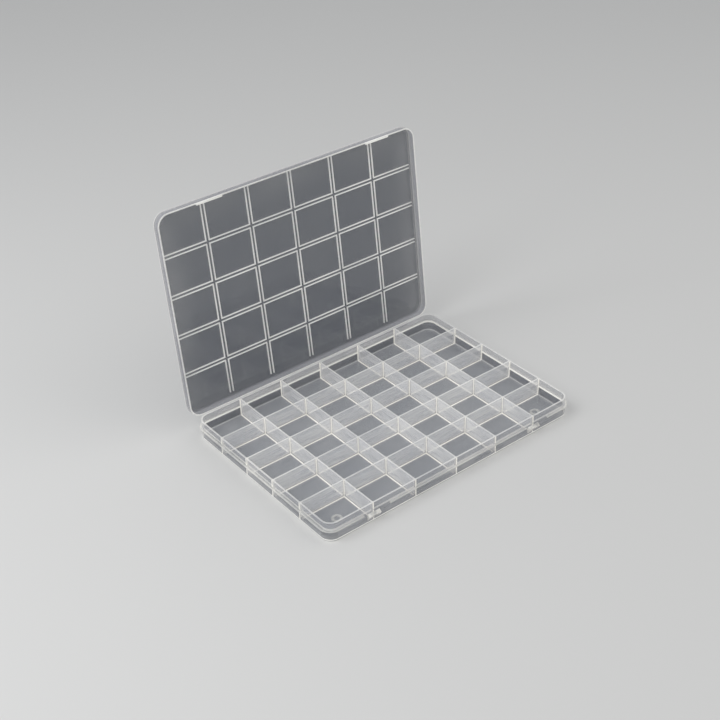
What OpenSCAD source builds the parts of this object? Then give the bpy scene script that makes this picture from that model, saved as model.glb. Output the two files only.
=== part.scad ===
// Flat compartment box for beads and small parts, moulded in clear polypropylene: one tray of
// fixed compartments and one lid, joined by two living-hinge strips.
// Frame: X along the hinge, Y from the front to the hinge side, Z up. The origin is the middle
// of the tray's underside. The lid is drawn shut, then swung open about the hinge axis.

/* [Compartments] */
// Number of compartments along the hinge
columns = 6; // [4:1:10]
// Number of compartments from the front to the back
rows = 5; // [2:1:8]
// Clear width of one compartment
cell_w = 29.1; // [22:0.1:45]
// Clear length of one compartment, front to back
cell_d = 24.25; // [16:0.05:45]
// Clear depth of one compartment
cell_h = 11.5; // [11:0.5:40]
// Thickness of the dividers
divider_t = 0.9; // [0.6:0.1:1.6]

/* [Tray] */
// Thickness of the outer wall
wall_t = 1.0; // [0.8:0.1:2]
// Thickness of the floor
floor_t = 1.1; // [0.8:0.1:3]
// Outside radius of the tray's upright corners
corner_r = 6.5; // [4:0.5:10]
// Rounding between the wall and the underside
foot_r = 1.2; // [0.4:0.1:1.6]
// Height of the rim above the ledge that the lid comes down to
ledge_drop = 4.8; // [4:0.1:5.4]
// Thickness of the ledge
ledge_t = 1.0; // [0.6:0.1:1.2]
// Outside radius of the moulded rings in the front corner compartments
ring_r = 3.2; // [2:0.1:5]
// Width of each ring's band
ring_band = 1.6; // [0.8:0.1:1.8]
// Height of the rings above the floor
ring_h = 0.5; // [0.2:0.1:1]

/* [Lid] */
// Thickness of the lid's panel
panel_t = 1.1; // [0.8:0.1:2]
// Thickness of the lid's skirt
skirt_t = 0.9; // [0.6:0.1:1.6]
// Rounding of the lid's outer edge
lid_edge_r = 1.2; // [0.4:0.1:1.6]
// How far the lid stands open
lid_open = 96.2; // [0:0.1:180]

/* [Seal ribs] */
// Thickness of a rib under the lid
rib_t = 0.7; // [0.4:0.1:1]
// Height of a rib
rib_h = 0.7; // [0.5:0.1:1.2]

/* [Catches] */
// Width of the tab that reaches below the lid's front skirt
tab_w = 17; // [8:0.5:20]
// How far the tabs, their notches and their click ridges lie to the right of the guard lugs
tab_shift = 2; // [0:0.5:3]
// How far the tab reaches below the skirt
tab_drop = 1.4; // [1.2:0.1:1.6]
// Width of the click ridge on the tray's front wall and of the bead inside the tab
click_w = 12; // [6:0.5:16]
// Height of the ridge and of the bead
click_h = 0.6; // [0.4:0.05:0.7]
// Width of the guard lug below each tab
lug_w = 8.4; // [4:0.2:12]
// How far the lug stands out of the wall
lug_proud = 1.6; // [0.8:0.1:2.4]
// Height of the lug's sloping top
lug_slope_h = 1.3; // [0.6:0.1:1.6]
// Height of the lug's blunt nose
lug_nose_h = 0.5; // [0.2:0.1:1]
// Height of the lug from its top to its tail
lug_h = 4.2; // [3.2:0.1:4.6]

/* [Hinge] */
// Length of each hinge strip
strip_w = 52; // [20:1:56]
// Distance from the middle of the box to the middle of a strip
strip_x = 48.5; // [32:0.5:56]
// Distance from the ledge's edge to the hinge axis
hinge_reach = 1.85; // [1.6:0.05:3]
// Thickness of the bending film
film_t = 0.3; // [0.2:0.05:0.4]
// Rounding of the strip plates' free corners, seen from above
plate_r = 0.8; // [0.3:0.1:0.8]

/* [Clearances] */
// Gap between the lid's skirt and the tray's wall
skirt_gap = 0.25; // [0.15:0.05:0.5]
// Gap between the shut skirt and the ledge
seat_gap = 0.3; // [0.2:0.05:0.5]
// Gap between the divider tops and the shut lid's panel
head_gap = 0.3; // [0.1:0.05:0.4]
// Gap between a rib and the divider that it stands beside
rib_gap = 0.3; // [0.15:0.05:0.6]
// Gap between the end of a rib and the tray's wall
rib_end_gap = 0.45; // [0.2:0.05:1]
// The same gap at the wall beside the hinge
rib_hinge_gap = 1.7; // [0.2:0.1:3]
// Gap between a tab and the ends of the notch in the ledge
tab_gap = 0.5; // [0.2:0.1:1]
// Height between the shut tab's bead and the click ridge above it
click_gap = 0.15; // [0.1:0.05:0.3]
// Gap between the bead's crest and the wall, and between the ridge's crest and the skirt
crest_gap = 0.05; // [0.03:0.01:0.1]
// Gap between the bottom of the shut tab and the guard lug
lug_gap = 0.3; // [0.2:0.1:0.6]
// Running gap between the film and the lid's strip plates
film_gap = 0.12; // [0.08:0.02:0.2]

/* [Hidden] */

$fn = 48;
// How far a cutting shape runs past the face that it cuts
through = 1;

// Grid pitches and the tray's outside
pitch_x = cell_w + divider_t;
pitch_y = cell_d + divider_t;
inside_w = columns * pitch_x - divider_t;
inside_d = rows * pitch_y - divider_t;
tray_w = inside_w + 2 * wall_t;
tray_d = inside_d + 2 * wall_t;
rim_z = floor_t + cell_h;

// The ledge is flush with the outside of the shut lid
ledge_proud = skirt_gap + skirt_t;
ledge_top = rim_z - ledge_drop;
lid_w = tray_w + 2 * ledge_proud;
lid_d = tray_d + 2 * ledge_proud;
lid_corner_r = corner_r + ledge_proud;

// Heights of the shut lid
skirt_z = ledge_top + seat_gap;
panel_z = rim_z + head_gap;
lid_top = panel_z + panel_t;
tab_z = skirt_z - tab_drop;

// The hinge axis lies behind the ledge, midway between the ledge and the shut skirt
axis_y = lid_d / 2 + hinge_reach;
axis_z = ledge_top + seat_gap / 2;
plate_l = hinge_reach - film_t - film_gap;
film_w = strip_w - 2 * plate_r;

// The guard lugs lie at the outermost long dividers
catch_x = (columns / 2 - 1) * pitch_x;
click_proud = skirt_gap - crest_gap;
ridge_z = tab_z + click_h + click_gap;
lug_top = tab_z - lug_gap;

CLEAR = [0.86, 0.87, 0.86, 0.55];
EDGE = [0.95, 0.94, 0.90, 0.75];
PANEL = [0.60, 0.63, 0.68, 0.50];

// Middle of long divider i, counted from the left, and of cross divider i, from the back
function divider_x(i) = (i - columns / 2) * pitch_x;
function divider_y(i) = (rows / 2 - i) * pitch_y;

// Middle of a tab, its notch and its click ridge: side -1 at the left, 1 at the right
function tab_x(side) = side * catch_x + tab_shift;

// Sweeps a wall section round a rounded rectangle. The section's X runs outward from the corner
// centres, so the wall's outside lies at X = r, and the section's Y is the height.
module sweep_round(w, d, r) {
  for (sx = [-1, 1], sy = [-1, 1])
    translate([sx * (w / 2 - r), sy * (d / 2 - r), 0])
      rotate(sx > 0 ? (sy > 0 ? 0 : 270) : (sy > 0 ? 90 : 180))
        rotate_extrude(angle = 90) children();
  for (side = [0, 1], turn = [0, 180]) {
    run = (side == 0 ? d : w) - 2 * r;
    reach = (side == 0 ? w : d) / 2 - r;
    rotate(turn + side * 90)
      translate([reach, run / 2, 0])
        rotate([90, 0, 0]) linear_extrude(run) children();
  }
}

// Square-edged profile of height h, rounded by e at its top or bottom outer corner, out to X = r
module rounded_profile(r, h, e, at_top) {
  square([r - e, h]);
  translate([0, at_top ? 0 : e]) square([r, h - e]);
  translate([r - e, at_top ? h - e : e]) circle(e);
}

// Section of the tray: floor, rounded foot, wall and ledge
module tray_section() {
  difference() {
    rounded_profile(corner_r, rim_z, foot_r, false);
    translate([-through, floor_t]) square([corner_r - wall_t + through, rim_z]);
  }
  translate([corner_r, ledge_top - ledge_t]) square([ledge_proud, ledge_t]);
}

// Section of the lid: panel, rounded edge and skirt
module lid_section() {
  difference() {
    translate([0, skirt_z])
      rounded_profile(lid_corner_r, lid_top - skirt_z, lid_edge_r, true);
    translate([-through, skirt_z - through])
      square([lid_corner_r - skirt_t + through, panel_z - skirt_z + through]);
  }
}

// A flat plate that closes the middle of a swept section
module core_plate(w, d, r, z, t) {
  translate([r - w / 2, r - d / 2, z]) cube([w - 2 * r, d - 2 * r, t]);
}

// Extrudes a section whose X runs toward the front of the box and whose Y is the height,
// centred on X = x with its origin on the plane Y = y
module front_profile(x, y, w) {
  translate([x - w / 2, y, 0])
    rotate([90, 0, 90]) linear_extrude(w) mirror([1, 0]) children();
}

// The lid and what is moulded on it swing about the hinge axis
module swung_open() {
  translate([0, axis_y, axis_z])
    rotate([-lid_open, 0, 0])
      translate([0, -axis_y, -axis_z]) children();
}

// Plan outline of a strip plate: it starts at Y = 0 and its free corners are rounded
module plate_outline() {
  intersection() {
    union() {
      translate([-strip_w / 2, 0]) square([strip_w, plate_l - plate_r]);
      translate([plate_r - strip_w / 2, 0]) square([strip_w - 2 * plate_r, plate_l]);
      for (sx = [-1, 1])
        translate([sx * (strip_w / 2 - plate_r), plate_l - plate_r]) circle(plate_r);
    }
    translate([-strip_w / 2, 0]) square([strip_w, plate_l]);
  }
}

module strip_plates(z) {
  for (sx = [-1, 1])
    translate([sx * strip_x, lid_d / 2, z]) linear_extrude(ledge_t) plate_outline();
}

// Floor, walls and the ledge round the outside, which is notched for the lid's tabs
module tray_shell() {
  color(CLEAR)
    difference() {
      union() {
        sweep_round(tray_w, tray_d, corner_r) tray_section();
        core_plate(tray_w, tray_d, corner_r, 0, floor_t);
      }
      for (sx = [-1, 1])
        translate([tab_x(sx) - tab_w / 2 - tab_gap, -tray_d / 2 - ledge_proud - through,
                   ledge_top - ledge_t - through])
          cube([tab_w + 2 * tab_gap, ledge_proud + through, ledge_t + 2 * through]);
    }
}

// Rings moulded on the floor in the middle of the two front corner compartments
module floor_rings() {
  color(EDGE)
    for (sx = [-1, 1])
      translate([sx * (columns - 1) / 2 * pitch_x, -(rows - 1) / 2 * pitch_y, floor_t])
        difference() {
          cylinder(h = ring_h, r = ring_r);
          translate([0, 0, -through]) cylinder(h = ring_h + 2 * through, r = ring_r - ring_band);
        }
}

// Divider i that runs the whole way from the front wall to the back wall
module long_divider(i) {
  color(EDGE)
    translate([divider_x(i) - divider_t / 2, -inside_d / 2, floor_t])
      cube([divider_t, inside_d, cell_h]);
}

// Row i of short dividers that bridge the long ones
module cross_divider(i) {
  color(EDGE)
    for (c = [0 : columns - 1])
      translate([c * pitch_x - inside_w / 2, divider_y(i) - divider_t / 2, floor_t])
        cube([cell_w, divider_t, cell_h]);
}

// Click ridge and wedge-shaped guard lug on the front wall, under one of the lid's tabs
module tray_catch(side) {
  color(EDGE) {
    front_profile(tab_x(side), -tray_d / 2, click_w)
      polygon([[0, ridge_z], [click_proud, ridge_z + click_h / 3],
               [click_proud, ridge_z + click_h * 2 / 3], [0, ridge_z + click_h]]);
    front_profile(side * catch_x, -tray_d / 2, lug_w)
      polygon([[0, lug_top], [lug_proud, lug_top - lug_slope_h],
               [lug_proud, lug_top - lug_slope_h - lug_nose_h], [0, lug_top - lug_h]]);
  }
}

// Plates at the ledge's height that carry the bending film
module tray_hinge_plates() {
  color(CLEAR) strip_plates(ledge_top - ledge_t);
}

// Bending film of one strip: a web from the tray's plate and a round bead on the hinge axis
module hinge_film(side) {
  color(EDGE)
    translate([side * strip_x - film_w / 2, 0, 0]) {
      translate([0, axis_y, axis_z]) rotate([0, 90, 0]) cylinder(h = film_w, r = film_t);
      translate([0, lid_d / 2 + plate_l, ledge_top - film_t])
        cube([film_w, hinge_reach - plate_l, film_t]);
    }
}

// Panel and skirt of the lid
module lid_shell() {
  color(PANEL)
    swung_open() {
      sweep_round(lid_w, lid_d, lid_corner_r) lid_section();
      core_plate(lid_w, lid_d, lid_corner_r, panel_z, panel_t);
    }
}

// Tab below the front skirt, with the bead that clicks under the tray's ridge
module lid_tab(side) {
  inner = ledge_proud - skirt_t;
  color(EDGE)
    swung_open()
      front_profile(tab_x(side), -tray_d / 2, tab_w)
        polygon([[ledge_proud, skirt_z], [ledge_proud, tab_z], [inner - click_proud / 2, tab_z],
                 [crest_gap, tab_z + click_h / 3], [crest_gap, tab_z + click_h * 2 / 3],
                 [inner, tab_z + click_h], [inner, skirt_z]]);
}

module lid_hinge_plates() {
  color(PANEL) swung_open() strip_plates(skirt_z);
}

// Plan of the ribs round compartment (c, r): a rib beside each divider that borders it, none
// beside an outer wall, where the rib ends stop short
module cell_ribs(c, r) {
  low_x = c == 0 ? rib_end_gap : rib_gap;
  high_x = cell_w - (c == columns - 1 ? rib_end_gap : rib_gap);
  low_y = r == rows ? rib_end_gap : rib_gap;
  high_y = cell_d - (r == 1 ? rib_hinge_gap : rib_gap);
  cut_low_x = c == 0 ? -through : low_x + rib_t;
  cut_high_x = c == columns - 1 ? cell_w + through : high_x - rib_t;
  cut_low_y = r == rows ? -through : low_y + rib_t;
  cut_high_y = r == 1 ? cell_d + through : high_y - rib_t;
  translate([c * pitch_x - inside_w / 2, divider_y(r) + divider_t / 2])
    difference() {
      translate([low_x, low_y]) square([high_x - low_x, high_y - low_y]);
      translate([cut_low_x, cut_low_y])
        square([cut_high_x - cut_low_x, cut_high_y - cut_low_y]);
    }
}

// Ribs under the lid over row r of compartments, counted from the back. Those of neighbouring
// compartments straddle the divider between them and shut each compartment off by itself.
module seal_ribs(r) {
  color(EDGE)
    swung_open()
      translate([0, 0, panel_z - rib_h])
        linear_extrude(rib_h)
          for (c = [0 : columns - 1]) cell_ribs(c, r);
}

tray_shell();
floor_rings();
long_divider(1);  // long_divider_1
long_divider(2);  // long_divider_2
long_divider(3);  // long_divider_3
long_divider(4);  // long_divider_4
long_divider(5);  // long_divider_5
cross_divider(1);  // cross_divider_1
cross_divider(2);  // cross_divider_2
cross_divider(3);  // cross_divider_3
cross_divider(4);  // cross_divider_4
tray_catch(-1);  // tray_catch_left
tray_catch(1);  // tray_catch_right
tray_hinge_plates();
hinge_film(-1);  // hinge_film_left
hinge_film(1);  // hinge_film_right
lid_shell();
lid_tab(-1);  // lid_tab_left
lid_tab(1);  // lid_tab_right
lid_hinge_plates();
seal_ribs(1);  // seal_ribs_1
seal_ribs(2);  // seal_ribs_2
seal_ribs(3);  // seal_ribs_3
seal_ribs(4);  // seal_ribs_4
seal_ribs(5);  // seal_ribs_5
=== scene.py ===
"""Flat clear compartment box for beads: tray, lid and bending hinge strips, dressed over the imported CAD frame.

Every form is drawn in millimetres with the lid shut. The lid is then swung open about the hinge
line, and each moulding is parted into one named piece for each CAD node that it stands for.
"""

import logging
import math
from dataclasses import dataclass, field, replace
from enum import Enum
from typing import Callable, Iterable, Sequence

import bmesh
import bpy
from mathutils import Matrix, Vector


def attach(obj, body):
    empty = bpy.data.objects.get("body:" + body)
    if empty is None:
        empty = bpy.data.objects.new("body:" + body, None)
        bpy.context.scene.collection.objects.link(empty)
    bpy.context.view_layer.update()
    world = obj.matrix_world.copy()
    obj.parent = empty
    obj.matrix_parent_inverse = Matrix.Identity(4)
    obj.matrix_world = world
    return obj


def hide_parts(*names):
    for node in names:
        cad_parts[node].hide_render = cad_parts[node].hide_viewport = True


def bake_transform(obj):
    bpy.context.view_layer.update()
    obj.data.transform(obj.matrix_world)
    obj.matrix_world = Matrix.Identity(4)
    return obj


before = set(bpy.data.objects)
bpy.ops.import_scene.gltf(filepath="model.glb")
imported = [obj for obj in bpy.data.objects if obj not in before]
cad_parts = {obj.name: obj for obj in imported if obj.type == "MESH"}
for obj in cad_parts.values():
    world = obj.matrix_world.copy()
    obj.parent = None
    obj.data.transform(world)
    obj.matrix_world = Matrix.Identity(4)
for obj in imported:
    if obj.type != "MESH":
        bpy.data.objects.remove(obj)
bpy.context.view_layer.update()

LOG = logging.getLogger("bead_box")

# Metres in a millimetre.
MM = 0.001
# A face nearer than this to a level lies on it, in millimetres.
TOUCH = 0.005
# A point nearer than this to the inner face of the wall lies on that face, in millimetres.
SEAM = 0.02
# How deep a form that's fused on is rooted in the wall behind it, in millimetres.
ROOT = 0.4
# Keeps the faces of two forms that are fused together out of one plane, in millimetres.
NUDGE = 0.02
# Shares of a face's direction along an axis: flat on it, level, looking along it, and upright.
FLAT, LEVEL, LOOKING, UPRIGHT = 0.999, 0.99, 0.3, 0.1
# Width of the plan sheet that the fine streaks are drawn on, in millimetres.
SHEET_SPAN = 200.0

Point = tuple[float, float, float]
Flat = tuple[float, float]
Colour = tuple[float, float, float]
Ring = list[Point]
Fed = float | tuple[float, ...] | bpy.types.NodeSocket


# ---------------------------------------------------------------- sizes


@dataclass(frozen=True)
class BoxSizes:
    """Sizes of the box in millimetres, as the CAD source has them.

    The small roundings at the end are the moulding's own and too fine for the CAD.
    """

    columns: int = 6
    rows: int = 5
    cell_w: float = 29.1
    cell_d: float = 24.25
    cell_h: float = 11.5
    divider_t: float = 0.9
    wall_t: float = 1.0
    floor_t: float = 1.1
    corner_r: float = 6.5
    foot_r: float = 1.2
    ledge_drop: float = 4.8
    ledge_t: float = 1.0
    skirt_t: float = 0.9
    skirt_gap: float = 0.25
    seat_gap: float = 0.3
    head_gap: float = 0.3
    panel_t: float = 1.1
    lid_edge_r: float = 1.2
    lid_open: float = 96.2
    hinge_reach: float = 1.85
    film_t: float = 0.3
    film_gap: float = 0.12
    strip_w: float = 52.0
    strip_x: float = 48.5
    tab_w: float = 17.0
    tab_shift: float = 2.0
    tab_drop: float = 1.4
    tab_gap: float = 0.5
    click_h: float = 0.6
    crest_gap: float = 0.05
    lip_r: float = 0.16
    fillet_r: float = 0.55
    ledge_r: float = 0.22
    plate_edge: float = 0.1

    @property
    def pitch_x(self) -> float:
        """Step from one long divider to the next."""
        return self.cell_w + self.divider_t

    @property
    def pitch_y(self) -> float:
        """Step from one cross divider to the next."""
        return self.cell_d + self.divider_t

    @property
    def inside_w(self) -> float:
        """Clear width of the whole tray."""
        return self.columns * self.pitch_x - self.divider_t

    @property
    def inside_d(self) -> float:
        """Clear depth of the whole tray, front to back."""
        return self.rows * self.pitch_y - self.divider_t

    @property
    def tray_w(self) -> float:
        """Width over the outer walls."""
        return self.inside_w + 2 * self.wall_t

    @property
    def tray_d(self) -> float:
        """Depth over the outer walls."""
        return self.inside_d + 2 * self.wall_t

    @property
    def rim_z(self) -> float:
        """Height of the rim and of the divider tops."""
        return self.floor_t + self.cell_h

    @property
    def ledge_proud(self) -> float:
        """How far the ledge stands out of the wall."""
        return self.skirt_gap + self.skirt_t

    @property
    def ledge_top(self) -> float:
        """Height of the ledge's upper face."""
        return self.rim_z - self.ledge_drop

    @property
    def lid_w(self) -> float:
        """Width of the lid."""
        return self.tray_w + 2 * self.ledge_proud

    @property
    def lid_d(self) -> float:
        """Depth of the lid."""
        return self.tray_d + 2 * self.ledge_proud

    @property
    def lid_r(self) -> float:
        """Outside radius of the lid's corners, seen from above."""
        return self.corner_r + self.ledge_proud

    @property
    def skirt_z(self) -> float:
        """Height of the shut skirt's lower edge."""
        return self.ledge_top + self.seat_gap

    @property
    def panel_z(self) -> float:
        """Height of the shut panel's inner face."""
        return self.rim_z + self.head_gap

    @property
    def lid_top(self) -> float:
        """Height of the shut lid's outer face."""
        return self.panel_z + self.panel_t

    @property
    def tab_z(self) -> float:
        """Height of the shut tab's lower edge."""
        return self.skirt_z - self.tab_drop

    @property
    def axis_y(self) -> float:
        """Place of the hinge line behind the middle of the box."""
        return self.lid_d / 2 + self.hinge_reach

    @property
    def axis_z(self) -> float:
        """Height of the hinge line."""
        return self.ledge_top + self.seat_gap / 2

    @property
    def plate_l(self) -> float:
        """How far a strip plate reaches behind the ledge."""
        return self.hinge_reach - self.film_t - self.film_gap

    @property
    def ring_at(self) -> Flat:
        """Middle of the front compartment at the right, where a floor ring lies."""
        return (self.columns - 1) / 2 * self.pitch_x, -(self.rows - 1) / 2 * self.pitch_y

    @property
    def catch_x(self) -> float:
        """Distance of a guard lug from the middle of the front."""
        return (self.columns / 2 - 1) * self.pitch_x

    def tab_x(self, side: int) -> float:
        """Middle of a tab, its notch and its click ridge: -1 at the left, 1 at the right."""
        return side * self.catch_x + self.tab_shift

    def divider_x(self, number: int) -> float:
        """Middle of a long divider, counted from the left."""
        return (number - self.columns / 2) * self.pitch_x

    def divider_y(self, number: int) -> float:
        """Middle of a cross divider, counted from the back."""
        return (self.rows / 2 - number) * self.pitch_y

    def cells(self) -> list[tuple[int, int]]:
        """Column and row of every compartment: columns from 0 at the left, rows from 1 at the back."""
        return [(column, row) for row in range(1, self.rows + 1) for column in range(self.columns)]

    def cell_low(self, column: int, row: int) -> Flat:
        """Lowest X and Y of a compartment."""
        return column * self.pitch_x - self.inside_w / 2, self.divider_y(row) + self.divider_t / 2

    def borders(self, column: int, row: int) -> tuple[bool, bool, bool, bool]:
        """Whether a compartment lies along the left, the right, the back and the front wall."""
        return column == 0, column == self.columns - 1, row == 1, row == self.rows

    def swing(self) -> Matrix:
        """The turn about the hinge line that opens the lid.

        Returns:
            The turn, in millimetres.
        """
        there = Matrix.Translation((0, self.axis_y, self.axis_z))
        back = Matrix.Translation((0, -self.axis_y, -self.axis_z))
        return there @ Matrix.Rotation(math.radians(-self.lid_open), 4, "X") @ back


# ---------------------------------------------------------------- forms


class Join(Enum):
    """How one closed form is worked into another."""

    CARVE = "DIFFERENCE"
    FUSE = "UNION"


@dataclass(frozen=True)
class Corner:
    """Rounding of one upright corner: its radius and the steps that draw it."""

    radius: float
    steps: int


SHARP = Corner(0.03, 1)
PLATE_CORNER = Corner(0.8, 5)


@dataclass
class Form:
    """A closed form as plain points and faces, in millimetres."""

    points: list[Point] = field(default_factory=list)
    faces: list[list[int]] = field(default_factory=list)

    def add(self, *others: "Form") -> "Form":
        """Takes in other forms that don't touch this one.

        Args:
            others: The forms to take in.

        Returns:
            This form.
        """
        for other in others:
            start = len(self.points)
            self.points += other.points
            self.faces += [[start + i for i in face] for face in other.faces]
        return self

    def mesh(self, name: str) -> bpy.types.Mesh:
        """Makes a Blender mesh whose faces all look outward.

        Args:
            name: The mesh's name.

        Returns:
            The mesh, in millimetres.
        """
        made = bpy.data.meshes.new(name)
        made.from_pydata(self.points, [], self.faces)
        bm = bmesh.new()
        bm.from_mesh(made)
        bmesh.ops.remove_doubles(bm, verts=bm.verts, dist=1e-5)
        bmesh.ops.recalc_face_normals(bm, faces=bm.faces)
        bm.to_mesh(made)
        bm.free()
        return made


def rounded_ring(low: Flat, high: Flat, z: float, corners: Sequence[Corner]) -> Ring:
    """Draws a rectangle with rounded corners at one height.

    Args:
        low: Its lowest X and Y.
        high: Its highest X and Y.
        z: Its height.
        corners: The corners in turn, from the one at the highest X and Y, anticlockwise.

    Returns:
        The points in order, anticlockwise.
    """
    ring: Ring = []
    ends = ((high[0], high[1]), (low[0], high[1]), (low[0], low[1]), (high[0], low[1]))
    signs = ((1, 1), (-1, 1), (-1, -1), (1, -1))
    for turn, (end, sign, corner) in enumerate(zip(ends, signs, corners)):
        radius = max(corner.radius, SHARP.radius)
        centre = (end[0] - sign[0] * radius, end[1] - sign[1] * radius)
        for step in range(corner.steps + 1):
            angle = math.pi / 2 * (turn + step / corner.steps)
            ring.append((centre[0] + radius * math.cos(angle), centre[1] + radius * math.sin(angle), z))
    return ring


def loft(rings: Sequence[Ring], closed: bool = False) -> Form:
    """Joins rings of equal length into one form.

    Args:
        rings: The rings in order along the form.
        closed: Whether the last ring joins the first. If not, both ends are flat.

    Returns:
        The closed form.
    """
    size, last = len(rings[0]), len(rings) - 1
    form = Form([point for ring in rings for point in ring])
    for level in range(last + closed):
        a, b = level * size, (level + 1) % len(rings) * size
        for i in range(size):
            j = (i + 1) % size
            form.faces.append([a + i, a + j, b + j, b + i])
    if not closed:
        form.faces += [list(range(size))[::-1], [last * size + i for i in range(size)]]
    return form


def arc(centre: Flat, radius: float, start: float, end: float, steps: int) -> list[Flat]:
    """Points on an arc in a section.

    Args:
        centre: The arc's middle.
        radius: Its radius.
        start: The first angle in degrees.
        end: The last angle in degrees.
        steps: Number of steps between them.

    Returns:
        The points, both ends among them.
    """
    turns = [math.radians(start + (end - start) * i / steps) for i in range(steps + 1)]
    return [(centre[0] + radius * math.cos(t), centre[1] + radius * math.sin(t)) for t in turns]


def swept_wall(width: float, depth: float, radius: float, section: Iterable[Flat], steps: int = 14) -> Form:
    """A form whose rings follow a rounded rectangle centred on the origin.

    Args:
        width: The rectangle's size along X.
        depth: The rectangle's size along Y.
        radius: Its corner radius.
        section: How far each ring lies outside that rectangle, and its height.
        steps: Steps in each corner.

    Returns:
        The closed form.
    """
    rings = []
    for out, z in section:
        high = (width / 2 + out, depth / 2 + out)
        low = (-high[0], -high[1])
        rings.append(rounded_ring(low, high, z, [Corner(radius + out, steps)] * 4))
    return loft(rings)


def bar(low_x: float, high_x: float, profile: Sequence[Flat]) -> Form:
    """A bar along X with the given profile.

    Args:
        low_x: Where it starts.
        high_x: Where it ends.
        profile: Its outline in Y and Z.

    Returns:
        The closed form.
    """
    return loft([[(x, y, z) for y, z in profile] for x in (low_x, high_x)])


def mitred_strip(path: Sequence[Flat], closed: bool, section: Sequence[Flat]) -> Form:
    """Sweeps a section along a path of straight runs that meet at right angles.

    Args:
        path: The corners of the middle line, in X and Y.
        closed: Whether the last corner joins the first.
        section: The closed section: how far to the left of the path, and the height.

    Returns:
        The closed form.
    """
    count = len(path)
    rings: list[Ring] = []
    for i, (x, y) in enumerate(path):
        sides = []
        for a, b in ((i - 1, i), (i, i + 1)):
            if closed or (a >= 0 and b < count):
                p, q = path[a % count], path[b % count]
                run = Vector((q[0] - p[0], q[1] - p[1])).normalized()
                sides.append(Vector((-run.y, run.x)))
        left = sides[0] if len(sides) == 1 else sides[0] + sides[1]
        rings.append([(x + left.x * out, y + left.y * out, z) for out, z in section])
    return loft(rings, closed)


def put(name: str, data: bpy.types.ID) -> bpy.types.Object:
    """Makes an object and puts it in the scene.

    Args:
        name: The object's name.
        data: Its mesh, lamp or camera.

    Returns:
        The object.
    """
    made = bpy.data.objects.new(name, data)
    bpy.context.scene.collection.objects.link(made)
    return made


def worked(base: bpy.types.Mesh, tool: Form, how: Join) -> bpy.types.Mesh:
    """Carves a form out of a mesh or fuses it on, leaving no face inside.

    Args:
        base: The mesh to work.
        tool: The form that works it.
        how: Whether the form is carved out or fused on.

    Returns:
        The new mesh.
    """
    blank, cutter = put("blank", base), put("cutter", tool.mesh("cutter"))
    step = blank.modifiers.new("work", "BOOLEAN")
    step.solver = "EXACT"
    step.operation = how.value
    step.object = cutter
    made = bpy.data.meshes.new_from_object(blank.evaluated_get(bpy.context.evaluated_depsgraph_get()))
    for part in (blank, cutter):
        data = part.data
        bpy.data.objects.remove(part)
        bpy.data.meshes.remove(data)
    return made


def scored(mesh: bpy.types.Mesh, pick: Callable[[Vector], bool], axis: int, levels: Iterable[float]) -> None:
    """Cuts some faces of a mesh along straight lines, so that it can be parted there.

    Args:
        mesh: The mesh to score.
        pick: Says of a point whether it may be a corner of such a face.
        axis: The axis that the lines are square to: 0, 1 or 2.
        levels: Where the lines lie on that axis.
    """
    bm = bmesh.new()
    bm.from_mesh(mesh)
    across = Vector([float(i == axis) for i in range(3)])
    for level in levels:
        faces = [f for f in bm.faces if all(pick(v.co) for v in f.verts)]
        parts = faces + list({e for f in faces for e in f.edges}) + list({v for f in faces for v in f.verts})
        bmesh.ops.bisect_plane(bm, geom=parts, dist=1e-4, plane_co=across * level, plane_no=across)
    bm.to_mesh(mesh)
    bm.free()


def standoff(at: Vector, width: float, depth: float, radius: float) -> float:
    """Tells how far a point lies outside a rounded rectangle centred on the origin.

    Args:
        at: The point.
        width: The rectangle's size along X.
        depth: The rectangle's size along Y.
        radius: Its corner radius.

    Returns:
        The distance, below zero inside.
    """
    across, along = abs(at.x) - width / 2 + radius, abs(at.y) - depth / 2 + radius
    return math.hypot(max(across, 0), max(along, 0)) + min(max(across, along), 0) - radius


# ---------------------------------------------------------------- shader groups


class Effect(Enum):
    """The effects that several finishes share."""

    CLOUD = "milky_cloud"
    SKIN = "moulded_skin"
    SPECK = "fine_specks"
    BORDER = "border_light"


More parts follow.
